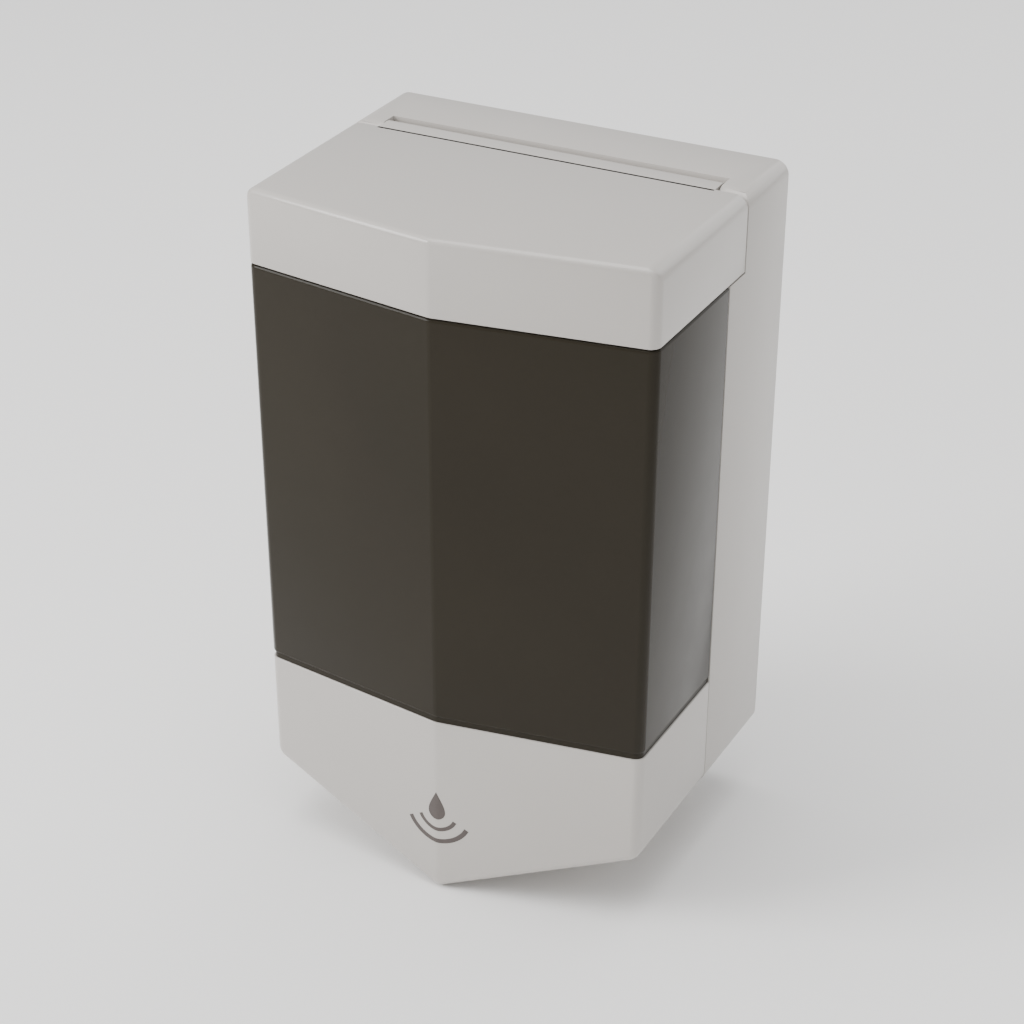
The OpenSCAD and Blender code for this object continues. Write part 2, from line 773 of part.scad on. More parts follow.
// Plate outline shared by the gear plate, the pump body and the pump cover.
module frame_outline(right) {
    high = pump_z + pump_r;
    polygon(rounded([[frame_x0, frame_low], [right, frame_low], [right, high], [frame_x0, high]],
                    [4, 4, 4, 4]));
}
module gear_plate() {
    color("white") difference() {
        union() {
            deep(gear_plate_d, gear_plate_d + gear_plate_t) frame_outline(frame_x1);
            block(frame_x0 + 6, frame_x1 - 6, gear_plate_d, gear_plate_d + gear_plate_t,
                  pump_z + 12, deck_under);
            for (p = pillar_at) rod(p.x, p.y, pillar_r, gear_plate_d, pump_back_d);
        }
        for (p = pillar_at) rod(p.x, p.y, screw_r, pump_back_d - 8, pump_back_d + 1);
        rod(pump_x, pump_z, rotor_shaft_r + run_fit, gear_plate_d - 1, layer_b);
        rod(idler_x, pump_z, idler_r, gear_plate_d + 1, layer_b);
        rod(motor_x, pump_z, 3.05, gear_plate_d - 1, layer_b);
    }
}
// Track outline round the rotor, open on the right, where the tube comes in and goes out.
module pump_outline(grow, right) {
    r = track_r + grow;
    intersection() {
        translate([pump_x, pump_z]) {
            circle(r);
            translate([0, -r]) square(2 * r);
        }
        translate([frame_x0 - 1, pump_z - r - 1]) square([right - frame_x0 + 1, 2 * r + 2]);
    }
}
module pump_body() {
    color("white") difference() {
        union() {
            deep(pump_back_d, pump_back_d + pump_wall) frame_outline(pump_x1);
            deep(pump_back_d, pump_front_d) pump_outline(pump_wall, pump_right);
            block(pump_x - 8, pump_x + 6, pump_back_d, pump_front_d, pump_z + pump_r - 2,
                  deck_under);
            for (p = pillar_at) rod(p.x, p.y, pillar_r, pump_back_d, pump_front_d);
        }
        deep(pump_back_d + pump_wall, pump_front_d + 1) pump_outline(0, pump_right + 1);
        block(-low_bend - 1, pump_right + 1, pump_back_d + pump_wall, pump_front_d + 1,
              pump_z - pump_r - 1, pump_z);
        rod(pump_x, pump_z, rotor_shaft_r + run_fit, pump_back_d - 1, pump_front_d);
        rod(idler_x, pump_z, idler_r, pump_back_d - 1, pump_back_d + 1);
        for (p = pillar_at) rod(p.x, p.y, screw_r + 0.1, pump_back_d - 1, pump_front_d + 1);
    }
}
module pump_cover() {
    color("white") difference() {
        deep(pump_front_d, pump_front_d + pump_wall) frame_outline(pump_x1);
        for (p = pillar_at)
            rod(p.x, p.y, screw_r + 0.1, pump_front_d - 1, pump_front_d + pump_wall + 1);
    }
}
module pump_screws() {
    d = pump_front_d + pump_wall;
    color("silver") for (p = pillar_at) {
        rod(p.x, p.y, screw_r, pump_back_d - 7, d + 0.5);
        difference() {
            rod(p.x, p.y, 2.3, d, d + 1.6);
            for (a = [0, 90]) deep(d + 0.8, d + 2)
                translate([p.x, p.y]) rotate(a) square([2.8, 0.6], center = true);
        }
    }
}
module idler_axle() {
    color("silver") rod(idler_x, pump_z, idler_r, gear_plate_d + 1, pump_back_d + 1);
}
module gear_motor() {
    color("silver") difference() {
        union() {
            rod(motor_x, pump_z, motor_r, gear_plate_d - motor_l, gear_plate_d);
            rod(motor_x, pump_z, 3, gear_plate_d - 1, gear_plate_d + 1.5);
        }
        rod(motor_x, pump_z, shaft_r + run_fit, gear_plate_d - motor_l + 4, gear_plate_d + 2);
    }
}
module motor_shaft() {
    color("silver") rod(motor_x, pump_z, shaft_r, gear_plate_d - motor_l + 5, layer_b + gear_w);
}
module motor_pinion() {
    color("goldenrod") difference() {
        deep(layer_b, layer_b + gear_w) translate([motor_x, pump_z])
            rotate(180 / small_teeth) gear_outline(small_teeth);
        rod(motor_x, pump_z, shaft_r, layer_b - 1, layer_b + gear_w + 1);
    }
}
module compound_gear() {
    color("ivory") difference() {
        union() {
            deep(layer_b, layer_b + gear_w) translate([idler_x, pump_z]) gear_outline(big_teeth);
            deep(layer_b + gear_w - 1, layer_a + gear_w) translate([idler_x, pump_z])
                rotate(180 / small_teeth) gear_outline(small_teeth);
        }
        rod(idler_x, pump_z, idler_r + run_fit, layer_b - 1, layer_a + gear_w + 1);
    }
}
module rotor_gear() {
    color("ivory") difference() {
        deep(layer_a, layer_a + gear_w) translate([pump_x, pump_z]) gear_outline(big_teeth);
        rod(pump_x, pump_z, rotor_shaft_r, layer_a - 1, layer_a + gear_w + 1);
    }
}
function roller_angle(i) = 360 * i / rollers;
module pump_rotor() {
    color("darkorange") {
        rod(pump_x, pump_z, rotor_shaft_r, gear_plate_d, disc_d + disc_t);
        rod(pump_x, pump_z, rotor_disc_r, disc_d, disc_d + disc_t);
        rod(pump_x, pump_z, 3.4, disc_d, roller_d + roller_l + 0.8);
        for (i = [0 : rollers - 1])
            rod(pump_x + roller_circle * cos(roller_angle(i)),
                pump_z + roller_circle * sin(roller_angle(i)),
                roller_pin_r, disc_d, roller_d + roller_l + 0.8);
    }
}
module roller(i) {
    x = pump_x + roller_circle * cos(roller_angle(i));
    z = pump_z + roller_circle * sin(roller_angle(i));
    color("gray") difference() {
        rod(x, z, roller_r, roller_d, roller_d + roller_l);
        rod(x, z, roller_pin_r + run_fit, roller_d - 1, roller_d + roller_l + 1);
    }
}
module roller_1() { roller(0); }
module roller_2() { roller(1); }
module roller_3() { roller(2); }

wall_bracket();
rear_housing();
chin_cover();
window_panel();
chassis();
housing_screws();
top_lid();
lid_seal();
lid_hinge_pin();
soap_tank();
outlet_grommet();
outlet_strainer();
pump_tube();
nozzle();
nozzle_valve();
sensor_lens();
sensor_pair();
status_led();
sensor_board();
battery_box();
battery_cells();
contact_springs();
contact_plates();
battery_door();
circuit_board();
board_chips();
switch_body();
switch_slider();
battery_leads();
motor_leads();
gear_plate();
pump_body();
pump_cover();
pump_screws();
idler_axle();
gear_motor();
motor_shaft();
motor_pinion();
compound_gear();
pump_rotor();
rotor_gear();
roller_1();
roller_2();
roller_3();
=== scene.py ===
"""Looks of a wall mounted automatic soap dispenser, built round its CAD frame."""

import json
import math

import bmesh
import bpy
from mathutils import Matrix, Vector


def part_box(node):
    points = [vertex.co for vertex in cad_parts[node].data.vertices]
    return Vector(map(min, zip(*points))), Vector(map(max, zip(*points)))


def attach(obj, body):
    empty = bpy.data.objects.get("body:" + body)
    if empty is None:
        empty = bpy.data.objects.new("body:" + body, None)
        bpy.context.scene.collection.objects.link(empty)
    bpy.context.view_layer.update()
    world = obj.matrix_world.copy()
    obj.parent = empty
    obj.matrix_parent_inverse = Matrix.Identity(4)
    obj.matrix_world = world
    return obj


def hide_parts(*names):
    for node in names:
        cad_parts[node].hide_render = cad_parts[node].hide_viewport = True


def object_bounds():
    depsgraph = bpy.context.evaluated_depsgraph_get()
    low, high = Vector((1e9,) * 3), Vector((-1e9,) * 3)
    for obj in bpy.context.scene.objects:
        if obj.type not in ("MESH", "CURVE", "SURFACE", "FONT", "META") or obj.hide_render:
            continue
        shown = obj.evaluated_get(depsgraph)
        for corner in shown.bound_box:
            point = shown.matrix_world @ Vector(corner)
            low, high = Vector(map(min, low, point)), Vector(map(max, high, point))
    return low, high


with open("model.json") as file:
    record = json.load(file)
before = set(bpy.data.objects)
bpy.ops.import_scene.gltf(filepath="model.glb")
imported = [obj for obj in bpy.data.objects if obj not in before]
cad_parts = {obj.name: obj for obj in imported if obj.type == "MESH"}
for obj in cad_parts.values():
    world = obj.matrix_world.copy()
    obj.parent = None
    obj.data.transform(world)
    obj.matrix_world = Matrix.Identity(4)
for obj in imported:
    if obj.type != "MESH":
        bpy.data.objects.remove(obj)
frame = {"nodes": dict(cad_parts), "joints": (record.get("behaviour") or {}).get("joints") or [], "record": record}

bl_info = {
    "name": "Soap dispenser",
    "version": (1, 0, 0),
    "blender": (4, 5, 0),
    "location": "View3D > Sidebar > Dispenser",
    "description": "Builds the case, window, lid, fittings and stage of a soap dispenser",
    "category": "Object",
}

CAD_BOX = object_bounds()
MM = 0.001
NODES = frame["nodes"]


# ---- places read from the frame ----

def low(node):
    """Lowest corner of a CAD node."""
    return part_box(node)[0]


def high(node):
    """Highest corner of a CAD node."""
    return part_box(node)[1]


def joint(name):
    """Record of one joint."""
    return next(j for j in frame["joints"] if j["name"] == name)


TIP_Z = low("chin_cover").z
SILL_Z = high("chin_cover").z
WINDOW_TOP_Z = high("window_panel").z
SKIRT_Z = low("top_lid").z
TOP_Z = high("rear_housing").z
FRONT_Y = low("window_panel").y
SEAM_Y = high("window_panel").y
BACK_Y = high("rear_housing").y
HALF_TOP = high("rear_housing").x
EDGE_Y = min(v.co.y for v in NODES["window_panel"].data.vertices
             if v.co.x > high("window_panel").x - 0.1 * MM)
HINGE = Vector(joint("lid_hinge")["pos_m"])

NEAR = 0.01 * MM              # two places closer than this count as the same
PAST = MM                     # a cutter reaches this far past what it cuts
POCKET_HALF = 9.5 * MM        # half width of the pocket under the tip
POCKET_FRONT = 0.3 * MM       # pocket's front curve, centred this far behind the nozzle
POCKET_BACK = 1.2 * MM        # pocket's rear curve, centred this far ahead of the sensor window
MOUTH_ROUND = 0.4 * MM        # rounding of the pocket's mouth
NOZZLE_HOLE_R = 4.6 * MM      # hole for the nozzle in the pocket's roof
LENS_HOLE = (7.6 * MM, 4.1 * MM)   # half width and half depth of the sensor window's hole
TANK_CORNER = 5 * MM          # corner radius of the tank and of its seal
SEAL_WIDTH = 2 * MM           # width of the lid's ring that presses on the seal
HINGE_GAP = 0.4 * MM          # gap between the lid's skirt and its rolled edge
PIN_BORE_R = 1.55 * MM        # bore for the hinge pin
PRINT_PROUD = 0.03 * MM       # how far the print stands out from the chin
PRINT_DEPTH = 0.25 * MM       # how far it reaches into the chin's wall

LIGHTS = {                    # place from the object's middle, side in metres, power in watts
    "key": ((-1.1, -0.9, 0.8), 0.8, 24),
    "fill": ((1.2, -0.9, 0.5), 1.4, 3),
    "top": ((-0.1, -0.1, 1.6), 1.4, 27),
    "back": ((0.4, 1.4, 0.6), 1.2, 6),
}


# ---- settings ----

class CaseSettings(bpy.types.PropertyGroup):
    """Sizes of the case's outer shells."""
    shoulder_height: bpy.props.FloatProperty(
        name="Shoulder height", description="Height of the shoulders above the tip",
        default=23 * MM, unit="LENGTH")
    taper: bpy.props.FloatProperty(
        name="Taper", description="Width lost from the top down to the shoulders",
        default=3.5 * MM, unit="LENGTH")
    wall: bpy.props.FloatProperty(
        name="Wall", description="Wall thickness of the shells", default=2.2 * MM, unit="LENGTH")
    top_round: bpy.props.FloatProperty(
        name="Top corner", description="Radius of the top corners", default=4 * MM, unit="LENGTH")
    shoulder_round: bpy.props.FloatProperty(
        name="Shoulder", description="Radius of the shoulders", default=4.5 * MM, unit="LENGTH")
    tip_round: bpy.props.FloatProperty(
        name="Tip", description="Radius of the tip", default=2 * MM, unit="LENGTH")
    side_round: bpy.props.FloatProperty(
        name="Side edge", description="Radius of the front side edges",
        default=3 * MM, unit="LENGTH")
    foot_round: bpy.props.FloatProperty(
        name="Lower edge", description="Radius of the front lower edges",
        default=2.6 * MM, unit="LENGTH")
    crown_round: bpy.props.FloatProperty(
        name="Upper edge", description="Radius of the front upper edge",
        default=1.8 * MM, unit="LENGTH")
    ridge_round: bpy.props.FloatProperty(
        name="Ridge", description="Radius of the centre ridge", default=5 * MM, unit="LENGTH")
    seam_round: bpy.props.FloatProperty(
        name="Seam edge", description="Radius of the edges where shells meet",
        default=0.3 * MM, unit="LENGTH")
    window_round: bpy.props.FloatProperty(
        name="Window edge", description="Radius of the window's rims",
        default=0.8 * MM, unit="LENGTH")
    groove_height: bpy.props.FloatProperty(
        name="Groove height", description="Height of the shadow groove under the window",
        default=1.6 * MM, unit="LENGTH")
    groove_depth: bpy.props.FloatProperty(
        name="Groove depth", description="Depth of the shadow groove",
        default=0.8 * MM, unit="LENGTH")
    # The lip is a thin sheet of smoked window plastic lining the back of the groove. It is a likely rim of the
    # window, and its dark colour also serves as painted shade for the groove's shadow line.
    lip: bpy.props.FloatProperty(
        name="Window lip", description="Thickness of the window's lip in the groove",
        default=0.35 * MM, unit="LENGTH")
    sign_height: bpy.props.FloatProperty(
        name="Sign height", description="Height of the printed drop above the tip",
        default=26.5 * MM, unit="LENGTH")
    sign_size: bpy.props.FloatProperty(
        name="Sign size", description="Width of the printed sign", default=22 * MM, unit="LENGTH")


class FinishSettings(bpy.types.PropertyGroup):
    """Colours of the visible finishes."""
    case_white: bpy.props.FloatVectorProperty(
        name="Case", description="Moulded case plastic", subtype="COLOR", size=3,
        default=(0.465, 0.438, 0.408))
    smoke: bpy.props.FloatVectorProperty(
        name="Window", description="Smoked window plastic", subtype="COLOR", size=3,
        default=(0.0240, 0.0200, 0.0136))
    print_ink: bpy.props.FloatVectorProperty(
        name="Print", description="Ink of the printed mark", subtype="COLOR", size=3,
        default=(0.075, 0.060, 0.055))
    floor: bpy.props.FloatVectorProperty(
        name="Floor", description="Studio floor", subtype="COLOR", size=3,
        default=(0.93, 0.92, 0.905))


class StageSettings(bpy.types.PropertyGroup):
    """Camera place and lens."""
    azimuth: bpy.props.FloatProperty(
        name="Azimuth", description="Camera turn to the right of the front",
        default=math.radians(27.5), subtype="ANGLE")
    elevation: bpy.props.FloatProperty(
        name="Elevation", description="Camera height angle",
        default=math.radians(28.8), subtype="ANGLE")
    distance: bpy.props.FloatProperty(
        name="Distance", description="Camera distance from the object's middle",
        default=0.75, unit="LENGTH")
    lens: bpy.props.FloatProperty(
        name="Lens", description="Focal length in millimetres", default=94.0)


def case_settings():
    """Settings of the case."""
    return bpy.context.scene.dispenser_case


def finish_settings():
    """Settings of the finishes."""
    return bpy.context.scene.dispenser_finish


# ---- modelling helpers ----

def only(obj):
    """Makes obj the one selected and active object."""
    bpy.ops.object.select_all(action="DESELECT")
    obj.select_set(True)
    bpy.context.view_layer.objects.active = obj


def cube(name, lowest, highest):
    """A box between two corners, with its place in its mesh."""
    lowest, highest = Vector(lowest), Vector(highest)
    bpy.ops.object.select_all(action="DESELECT")
    bpy.ops.mesh.primitive_cube_add(size=1, location=(lowest + highest) / 2,
                                    scale=highest - lowest)
    return settled(name)


def cylinder(name, centre, radius, depth, along="Z", sides=64):
    """A round bar centred on a point."""
    turn = {"X": (0, math.pi / 2, 0), "Y": (math.pi / 2, 0, 0), "Z": (0, 0, 0)}[along]
    bpy.ops.object.select_all(action="DESELECT")
    bpy.ops.mesh.primitive_cylinder_add(vertices=sides, radius=radius, depth=depth,
                                        location=centre, rotation=turn)
    return settled(name)


def settled(name):
    """Names the new primitive and applies its place."""
    obj = bpy.context.active_object
    obj.name = obj.data.name = name
    bpy.ops.object.transform_apply(location=True, rotation=True, scale=True)
    return obj


def copied(obj, name):
    """A copy with its own mesh."""
    twin = obj.copy()
    twin.data = obj.data.copy()
    twin.parent = None
    twin.name = twin.data.name = name
    for key in list(twin.keys()):
        del twin[key]
    bpy.context.scene.collection.objects.link(twin)
    return twin


def shift(obj, by):
    """Moves obj's mesh."""
    only(obj)
    obj.location = by
    bpy.ops.object.transform_apply(location=True, rotation=False, scale=False)


def turn_about(obj, centre, axis, angle):
    """Turns obj's mesh about an axis through a point."""
    edit(obj)
    bpy.ops.mesh.select_all(action="SELECT")
    bpy.ops.transform.rotate(value=angle, orient_axis=axis, center_override=centre)
    leave()


def body_of(node):
    """Name of the body that a CAD node rides on."""
    return next(b for b, names in frame["record"]["behaviour"]["bodies"].items() if node in names)


def edit(obj):
    """Opens obj in edit mode with nothing selected."""
    only(obj)
    bpy.ops.object.mode_set(mode="EDIT")
    bpy.ops.mesh.select_mode(type="VERT")
    bpy.ops.mesh.select_all(action="DESELECT")


def leave():
    """Goes back to object mode."""
    bpy.ops.object.mode_set(mode="OBJECT")


def pick(obj, test, kind="verts"):
    """Selects the vertices, edges or faces that pass the test, in edit mode."""
    mode = {"verts": "VERT", "edges": "EDGE", "faces": "FACE"}[kind]
    bpy.ops.mesh.select_all(action="DESELECT")
    bpy.ops.mesh.select_mode(type=mode)
    mesh = bmesh.from_edit_mesh(obj.data)
    found = [item for item in getattr(mesh, kind) if test(item)]
    if not found:
        raise RuntimeError(f"nothing to select on {obj.name}")
    for item in found:
        item.select_set(True)
    mesh.select_flush_mode()
    bmesh.update_edit_mesh(obj.data)


def cut(obj, point, normal, keep="both", fill=False):
    """Bisects obj by a plane and keeps both sides, the side ahead of the normal, or behind it."""
    edit(obj)
    bpy.ops.mesh.select_all(action="SELECT")
    bpy.ops.mesh.bisect(plane_co=point, plane_no=normal, use_fill=fill,
                        clear_inner=keep == "ahead", clear_outer=keep == "behind")
    leave()


def modify(obj, kind, **settings):
    """Adds a modifier and applies it."""
    only(obj)
    modifier = obj.modifiers.new(kind.title(), kind)
    for key, value in settings.items():
        setattr(modifier, key, value)
    bpy.ops.object.modifier_apply(modifier=modifier.name)


def combine(obj, other, operation):
    """Boolean of obj with another piece, which is used up."""
    modify(obj, "BOOLEAN", operation=operation, object=other, solver="MANIFOLD")
    bpy.data.objects.remove(other)


def join(obj, *others):
    """Joins the others into obj."""
    only(obj)
    for other in others:
        other.select_set(True)
    bpy.ops.object.join()
    return obj


def round_edges(obj, setback, inset=0.0, segments=8):
    """Moves a sharp closed body in by the inset, and rounds each edge by its own setback."""
    mesh = bmesh.new()
    mesh.from_mesh(obj.data)
    weights = mesh.edges.layers.float.new("bevel_weight_edge")
    setbacks = {edge: setback(edge) for edge in mesh.edges}
    widest = max(setbacks.values())
    for edge, amount in setbacks.items():
        edge[weights] = amount / widest
    mesh.to_mesh(obj.data)
    mesh.free()
    if inset:
        edit(obj)
        bpy.ops.mesh.select_all(action="SELECT")
        bpy.ops.transform.shrink_fatten(value=-inset, use_even_offset=True)
        leave()
    modify(obj, "BEVEL", limit_method="WEIGHT", width=widest, segments=segments,
           use_clamp_overlap=False)


def smooth(obj):
    """Shades obj smooth, with its sharp edges kept."""
    only(obj)
    bpy.ops.object.shade_smooth_by_angle(angle=math.radians(30))


def soften(obj, width, angle=60, segments=3):
    """Rounds every edge sharper than an angle."""
    modify(obj, "BEVEL", limit_method="ANGLE", angle_limit=math.radians(angle), width=width,
           segments=segments, use_clamp_overlap=True)
    smooth(obj)


def outward(obj):
    """Turns every face outwards on a closed piece."""
    edit(obj)
    bpy.ops.mesh.select_all(action="SELECT")
    bpy.ops.mesh.normals_make_consistent(inside=False)
    leave()


def place(obj, body, slot, material, *nodes):
    """Puts a finished piece on its body, in its finish, for the CAD nodes it stands for."""
    obj.data.materials.clear()
    obj.data.materials.append(material)
    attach(obj, body)
    if nodes:
        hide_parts(*nodes)
    return obj


def refined(node, name, width):
    """A copy of a CAD node with softened edges."""
    obj = copied(NODES[node], name)
    edit(obj)
    bpy.ops.mesh.select_all(action="SELECT")
    bpy.ops.mesh.remove_doubles(threshold=0.002 * MM)
    bpy.ops.mesh.dissolve_limited(angle_limit=math.radians(1))
    leave()
    soften(obj, width, 40)
    return obj


def place_refined(node, name, width):
    """Puts a softened copy of a CAD node in its place, with edges rounded by a width in mm."""
    slot = next(p["material_slot"] for p in frame["record"]["subparts"] if p["node"] == node)
    place(refined(node, name, width * MM), body_of(node), slot, finish(slot), node)


# ---- materials ----

class Shader:
    """A material under construction: a Principled shader with helpers that add nodes."""

    def __init__(self, name):
        """Starts a new material."""
        self.material = bpy.data.materials.new(name)
        self.material.use_nodes = True
        self.tree = self.material.node_tree
        self.main = self.tree.nodes["Principled BSDF"]
        self.coords = self.node("ShaderNodeTexCoord").outputs["Object"]

    def node(self, kind, **inputs):
        """Adds a node and sets its inputs."""
        made = self.tree.nodes.new(kind)
        for key, value in inputs.items():
            made.inputs[key.replace("_", " ")].default_value = value
        return made

    def set(self, **values):
        """Sets inputs of the main shader."""
        for key, value in values.items():
            self.main.inputs[key.replace("_", " ")].default_value = value
        return self

    def noise(self, scale, detail=2.0):
        """A soft random pattern from 0 to 1; the scale is cycles to the metre."""
        made = self.node("ShaderNodeTexNoise", Scale=scale, Detail=detail)
        self.tree.links.new(self.coords, made.inputs["Vector"])
        return made.outputs["Fac"]

    def spread(self, value, lowest, highest):
        """Maps a 0 to 1 texture on to a range."""
        made = self.node("ShaderNodeMapRange", To_Min=lowest, To_Max=highest)
        self.tree.links.new(value, made.inputs["Value"])
        return made.outputs["Result"]

    def tint(self, value, first, second):
        """Blends two colours by a texture into the base colour."""
        self.tree.links.new(self.mix(value, first, second), self.main.inputs["Base Color"])
        return self

    def math(self, operation, first, second=0.0):
        """One arithmetic step on sockets or numbers."""
        made = self.tree.nodes.new("ShaderNodeMath")
        made.operation = operation
        for socket, value in zip(made.inputs, (first, second)):
            if isinstance(value, float):
                socket.default_value = value
            else:
                self.tree.links.new(value, socket)
        return made.outputs[0]

    def mix(self, value, first, second):
        """Blends two colours or colour sockets by a mask."""
        made = self.tree.nodes.new("ShaderNodeMix")
        made.data_type = "RGBA"
        self.tree.links.new(value, made.inputs["Factor"])
        for name, colour in (("A", first), ("B", second)):
            socket = [i for i in made.inputs if i.name == name and i.type == "RGBA"][0]
            if isinstance(colour, tuple):
                socket.default_value = (*colour, 1)
            else:
                self.tree.links.new(colour, socket)
        return [o for o in made.outputs if o.type == "RGBA"][0]

    def rough(self, value, lowest, highest):
        """Lets the roughness wander between two values."""
        self.tree.links.new(self.spread(value, lowest, highest), self.main.inputs["Roughness"])
        return self

    def bump(self, value, height, strength=1.0):
        """Surface relief of a height in metres."""
        made = self.node("ShaderNodeBump", Strength=strength, Distance=height)
        self.tree.links.new(value, made.inputs["Height"])
        self.tree.links.new(made.outputs["Normal"], self.main.inputs["Normal"])
        return self


def shade(colour, factor):
    """A colour made lighter or darker."""
    return tuple(min(1.0, c * factor) for c in colour)


def moulded_white(name):
    """Gloss white case plastic with a very slight orange peel."""
    colour = tuple(finish_settings().case_white)
    made = Shader(name)
    made.set(Coat_Weight=0.25, Coat_Roughness=0.08, Specular_IOR_Level=0.5)
    made.tint(made.noise(40, 3), shade(colour, 0.985), shade(colour, 1.012))
    made.rough(made.noise(180, 3), 0.27, 0.34)
    made.bump(made.noise(320, 2), 0.005 * MM, 0.5)
    return made.material


def smoked_window(name):
    """Dark smoked window plastic."""
    colour = tuple(finish_settings().smoke)
    made = Shader(name)
    made.set(Specular_IOR_Level=0.11, IOR=1.49)
    made.tint(made.noise(25, 2), shade(colour, 0.9), shade(colour, 1.1))
    made.rough(made.noise(120, 3), 0.18, 0.25)
    made.bump(made.noise(260, 2), 0.003 * MM, 0.4)
    return made.material


def cell_jacket(name):
    """Dark sleeve with a pale band at both ends, and bare steel end faces."""
    made = Shader(name)
    middle_z = (low("battery_cells").z + high("battery_cells").z) / 2
    sleeve_half = 17 * MM
    split = made.node("ShaderNodeSeparateXYZ")
    made.tree.links.new(made.coords, split.inputs["Vector"])
    away = made.math("ABSOLUTE", made.math("SUBTRACT", split.outputs["Z"], middle_z))
    band = made.math("GREATER_THAN", away, sleeve_half)
    sleeve = made.mix(band, (0.03, 0.045, 0.065), (0.46, 0.46, 0.45))
    coords = made.node("ShaderNodeTexCoord")
    facing = made.node("ShaderNodeSeparateXYZ")
    made.tree.links.new(coords.outputs["Normal"], facing.inputs["Vector"])
    end = made.math("GREATER_THAN", made.math("ABSOLUTE", facing.outputs["Z"]), 0.6)
    made.tree.links.new(made.mix(end, sleeve, (0.62, 0.62, 0.63)), made.main.inputs["Base Color"])
    made.tree.links.new(made.spread(end, 0.15, 1.0), made.main.inputs["Metallic"])
    made.rough(made.noise(500, 3), 0.22, 0.34)
    return made.material


def printed_ink(name):
    """Matte printing ink."""
    colour = tuple(finish_settings().print_ink)
    made = Shader(name)
    made.tint(made.noise(900, 3), shade(colour, 0.9), shade(colour, 1.15))
    made.rough(made.noise(1500, 2), 0.45, 0.6)
    return made.material


def fine_plastic(name, colour, lowest=0.4, highest=0.55, grain=1800, relief=0.02):
    """Moulded plastic with a fine grain, its relief in mm."""
    made = Shader(name)
    made.tint(made.noise(60, 3), shade(colour, 0.94), shade(colour, 1.05))
    made.rough(made.noise(500, 3), lowest, highest)
    made.bump(made.noise(grain, 3), relief * MM, 0.6)
    return made.material


def metal(name, colour, lowest=0.22, highest=0.36):
    """Bare metal with a slightly uneven polish."""
    made = Shader(name)
    made.set(Metallic=1.0)
    made.tint(made.noise(300, 4), shade(colour, 0.9), shade(colour, 1.06))
    made.rough(made.noise(900, 4), lowest, highest)
    made.bump(made.noise(2500, 2), 0.004 * MM, 0.5)
    return made.material


def clear_plastic(name, colour, weight, roughness):
    """Plastic or resin that lets a share of the light through."""
    made = Shader(name)
    made.set(Transmission_Weight=weight, IOR=1.49)
    made.tint(made.noise(50, 2), shade(colour, 0.96), shade(colour, 1.03))
    made.rough(made.noise(200, 2), roughness, roughness + 0.08)
    return made.material


def rubber(name, colour, weight=0.0):
    """Silicone or soft insulation."""
    made = Shader(name)
    made.set(Transmission_Weight=weight, Sheen_Weight=0.1)
    made.tint(made.noise(80, 3), shade(colour, 0.92), shade(colour, 1.06))
    made.rough(made.noise(400, 3), 0.5, 0.66)
    made.bump(made.noise(2200, 3), 0.01 * MM, 0.5)
    return made.material


FINISHES = {          # maker of each slot's material, and the values it takes
    "bracket_plastic": (fine_plastic, (0.62, 0.62, 0.60)),
    "inner_plastic": (fine_plastic, (0.56, 0.57, 0.57)),
    "tank_plastic": (clear_plastic, (0.80, 0.82, 0.82), 0.25, 0.4),
    "silicone_dark": (rubber, (0.10, 0.10, 0.105)),
    "silicone_clear": (rubber, (0.80, 0.80, 0.77), 0.35),
    "nozzle_plastic": (fine_plastic, (0.72, 0.71, 0.68), 0.3, 0.4),
    "steel": (metal, (0.60, 0.60, 0.61)),
    "spring_steel": (metal, (0.74, 0.74, 0.75), 0.12, 0.22),
    "lens_dark": (fine_plastic, (0.018, 0.010, 0.012), 0.06, 0.1, 1800, 0.002),
    "diode": (clear_plastic, (0.10, 0.08, 0.18), 0.7, 0.05),
    "led_resin": (clear_plastic, (0.55, 0.85, 0.60), 0.7, 0.08),
    "board_green": (fine_plastic, (0.02, 0.13, 0.06), 0.25, 0.4),
    "chip_black": (fine_plastic, (0.02, 0.02, 0.02)),
    "switch_black": (fine_plastic, (0.025, 0.025, 0.025)),
    "lead_red": (rubber, (0.42, 0.03, 0.02)),
    "lead_blue": (rubber, (0.04, 0.09, 0.36)),
    "gear_acetal": (fine_plastic, (0.76, 0.74, 0.66), 0.35, 0.45),
    "brass": (metal, (0.72, 0.52, 0.22)),
    "rotor_orange": (fine_plastic, (0.72, 0.24, 0.05)),
    "white_case": (moulded_white,),
    "smoked_window": (smoked_window,),
    "print_grey": (printed_ink,),
    "cell_jacket": (cell_jacket,),
}


def finish(slot):
    """The material of a slot, made when it is first asked for."""
    name = slot + "_finish"
    maker, *values = FINISHES[slot]
    return bpy.data.materials.get(name) or maker(name, *values)


# ---- case shape ----

def case_body(name, inset=0.0):
    """The outer case as one closed solid with rounded edges, moved in all round by the inset."""
    size = case_settings()
    shoulder_z = TIP_Z + size.shoulder_height
    obj = cube(name, (-HALF_TOP, EDGE_Y, shoulder_z), (HALF_TOP, BACK_Y, TOP_Z))
    cut(obj, (0, 0, 0), (1, 0, 0))
    edit(obj)
    pick(obj, lambda v: abs(v.co.x) < NEAR and v.co.y < EDGE_Y + NEAR)
    bpy.ops.transform.translate(value=(0, FRONT_Y - EDGE_Y, 0))
    pick(obj, lambda v: abs(v.co.x) < NEAR and v.co.z < shoulder_z + NEAR)
    bpy.ops.transform.translate(value=(0, 0, TIP_Z - shoulder_z))
    for side in (-1, 1):
        pick(obj, lambda v: v.co.x * side > NEAR and v.co.z < shoulder_z + NEAR)
        bpy.ops.transform.translate(value=(-side * size.taper / 2, 0, 0))
    leave()
    round_edges(obj, lambda edge: edge_setback(edge, inset), inset)
    return obj


